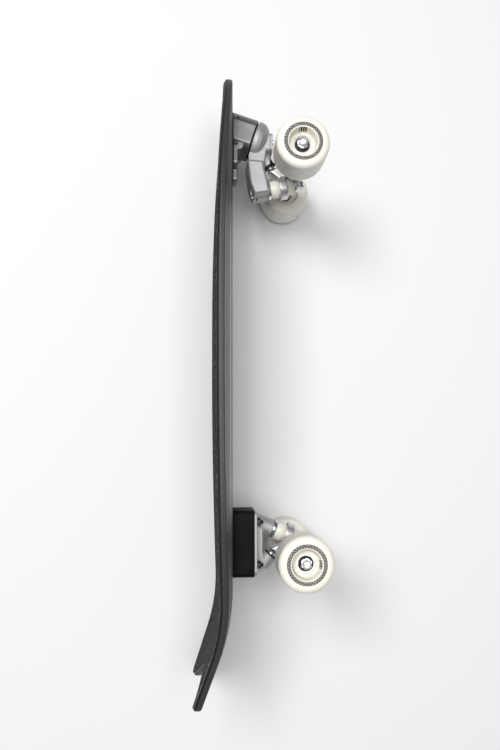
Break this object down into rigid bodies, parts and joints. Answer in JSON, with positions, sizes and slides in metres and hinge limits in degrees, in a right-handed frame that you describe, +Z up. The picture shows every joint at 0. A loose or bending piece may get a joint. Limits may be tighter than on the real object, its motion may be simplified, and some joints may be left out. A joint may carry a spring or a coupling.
{
  "type": "skateboard",
  "caption": "Surf-style cruiser board with a swallow tail, a swivelling front truck on an inclined axis, a riser under the rear truck and wide soft wheels",
  "frame": {"origin": "on the ground under the middle of the deck's length, in the middle plane", "axes": "+X toward the nose, +Y to the rider's left, +Z up"},
  "size_m": [0.8019, 0.254, 0.1647],
  "materials": {
    "deck_wood": "stained laminate, black rubbed edge",
    "grip": "fine abrasive grit",
    "urethane": "cream cast urethane, satin",
    "core_plastic": "moulded",
    "bushing_urethane": "cast urethane",
    "black_plastic": "moulded",
    "cast_aluminium": "cast and tumbled, satin",
    "black_steel": "black oxide",
    "bright_steel": "zinc plated"
  },
  "bodies": {
    "board": {"deck": "deck_wood", "grip_tape": "grip", "front_deck_bolts": "black_steel", "rear_deck_bolts": "black_steel", "rear_deck_nuts": "black_steel", "rear_riser_block": "black_plastic", "rear_baseplate": "cast_aluminium", "front_pad": "black_plastic", "surf_base": "cast_aluminium", "swivel_shaft": "bright_steel", "swivel_thrust_washers": "bright_steel", "swivel_lock_nut": "bright_steel", "swivel_stop_pin": "bright_steel", "swivel_dust_seal": "black_plastic", "return_spring": "bright_steel", "rear_kingpin": "bright_steel", "rear_kingpin_nut": "bright_steel", "rear_boardside_bushing": "bushing_urethane", "rear_roadside_bushing": "bushing_urethane", "rear_kingpin_washers": "bright_steel", "rear_pivot_cup": "black_plastic"},
    "front_arm": {"swing_arm": "cast_aluminium", "swivel_needle_bearing": "bright_steel", "swivel_cover": "cast_aluminium", "swivel_cover_screws": "bright_steel", "front_kingpin": "bright_steel", "front_kingpin_nut": "bright_steel", "front_boardside_bushing": "bushing_urethane", "front_roadside_bushing": "bushing_urethane", "front_kingpin_washers": "bright_steel", "front_pivot_cup": "black_plastic"},
    "front_truck": {"front_hanger": "cast_aluminium", "front_axle": "bright_steel", "front_inner_races": "bright_steel", "front_bearing_spacers": "bright_steel", "front_speed_rings": "bright_steel", "front_axle_nuts": "bright_steel"},
    "rear_truck": {"rear_hanger": "cast_aluminium", "rear_axle": "bright_steel", "rear_inner_races": "bright_steel", "rear_bearing_spacers": "bright_steel", "rear_speed_rings": "bright_steel", "rear_axle_nuts": "bright_steel"},
    "front_left_wheel": {"front_left_wheel_tyre": "urethane", "front_left_wheel_core": "core_plastic", "front_left_wheel_outer_races": "bright_steel", "front_left_wheel_balls": "bright_steel"},
    "front_right_wheel": {"front_right_wheel_tyre": "urethane", "front_right_wheel_core": "core_plastic", "front_right_wheel_outer_races": "bright_steel", "front_right_wheel_balls": "bright_steel"},
    "rear_left_wheel": {"rear_left_wheel_tyre": "urethane", "rear_left_wheel_core": "core_plastic", "rear_left_wheel_outer_races": "bright_steel", "rear_left_wheel_balls": "bright_steel"},
    "rear_right_wheel": {"rear_right_wheel_tyre": "urethane", "rear_right_wheel_core": "core_plastic", "rear_right_wheel_outer_races": "bright_steel", "rear_right_wheel_balls": "bright_steel"}
  },
  "joints": [
    {"name": "front_swivel", "type": "hinge", "parent": "board", "child": "front_arm", "pos_m": [0.323, 0, 0.0858], "axis": [0.309, 0, 0.9511], "range_deg": [-38, 38], "stiffness_Nm_per_rad": 6, "deforming": ["return_spring"]},
    {"name": "front_steer", "type": "hinge", "parent": "front_arm", "child": "front_truck", "pos_m": [0.29379, 0, 0.06655], "axis": [0.8614, 0, 0.5079], "range_deg": [-12, 12], "stiffness_Nm_per_rad": 60, "deforming": ["front_boardside_bushing", "front_roadside_bushing"]},
    {"name": "rear_steer", "type": "hinge", "parent": "board", "child": "rear_truck", "pos_m": [-0.23508, 0, 0.06913], "axis": [-0.7486, 0, 0.663], "range_deg": [-12, 12], "stiffness_Nm_per_rad": 60, "deforming": ["rear_boardside_bushing", "rear_roadside_bushing"]},
    {"name": "front_left_wheel_spin", "type": "hinge", "parent": "front_truck", "child": "front_left_wheel", "pos_m": [0.277, 0.0955, 0.033], "axis": [0, 1, 0], "continuous": true},
    {"name": "front_right_wheel_spin", "type": "hinge", "parent": "front_truck", "child": "front_right_wheel", "pos_m": [0.277, -0.0955, 0.033], "axis": [0, 1, 0], "continuous": true},
    {"name": "rear_left_wheel_spin", "type": "hinge", "parent": "rear_truck", "child": "rear_left_wheel", "pos_m": [-0.225, 0.0955, 0.033], "axis": [0, 1, 0], "continuous": true},
    {"name": "rear_right_wheel_spin", "type": "hinge", "parent": "rear_truck", "child": "rear_right_wheel", "pos_m": [-0.225, -0.0955, 0.033], "axis": [0, 1, 0], "continuous": true}
  ]
}
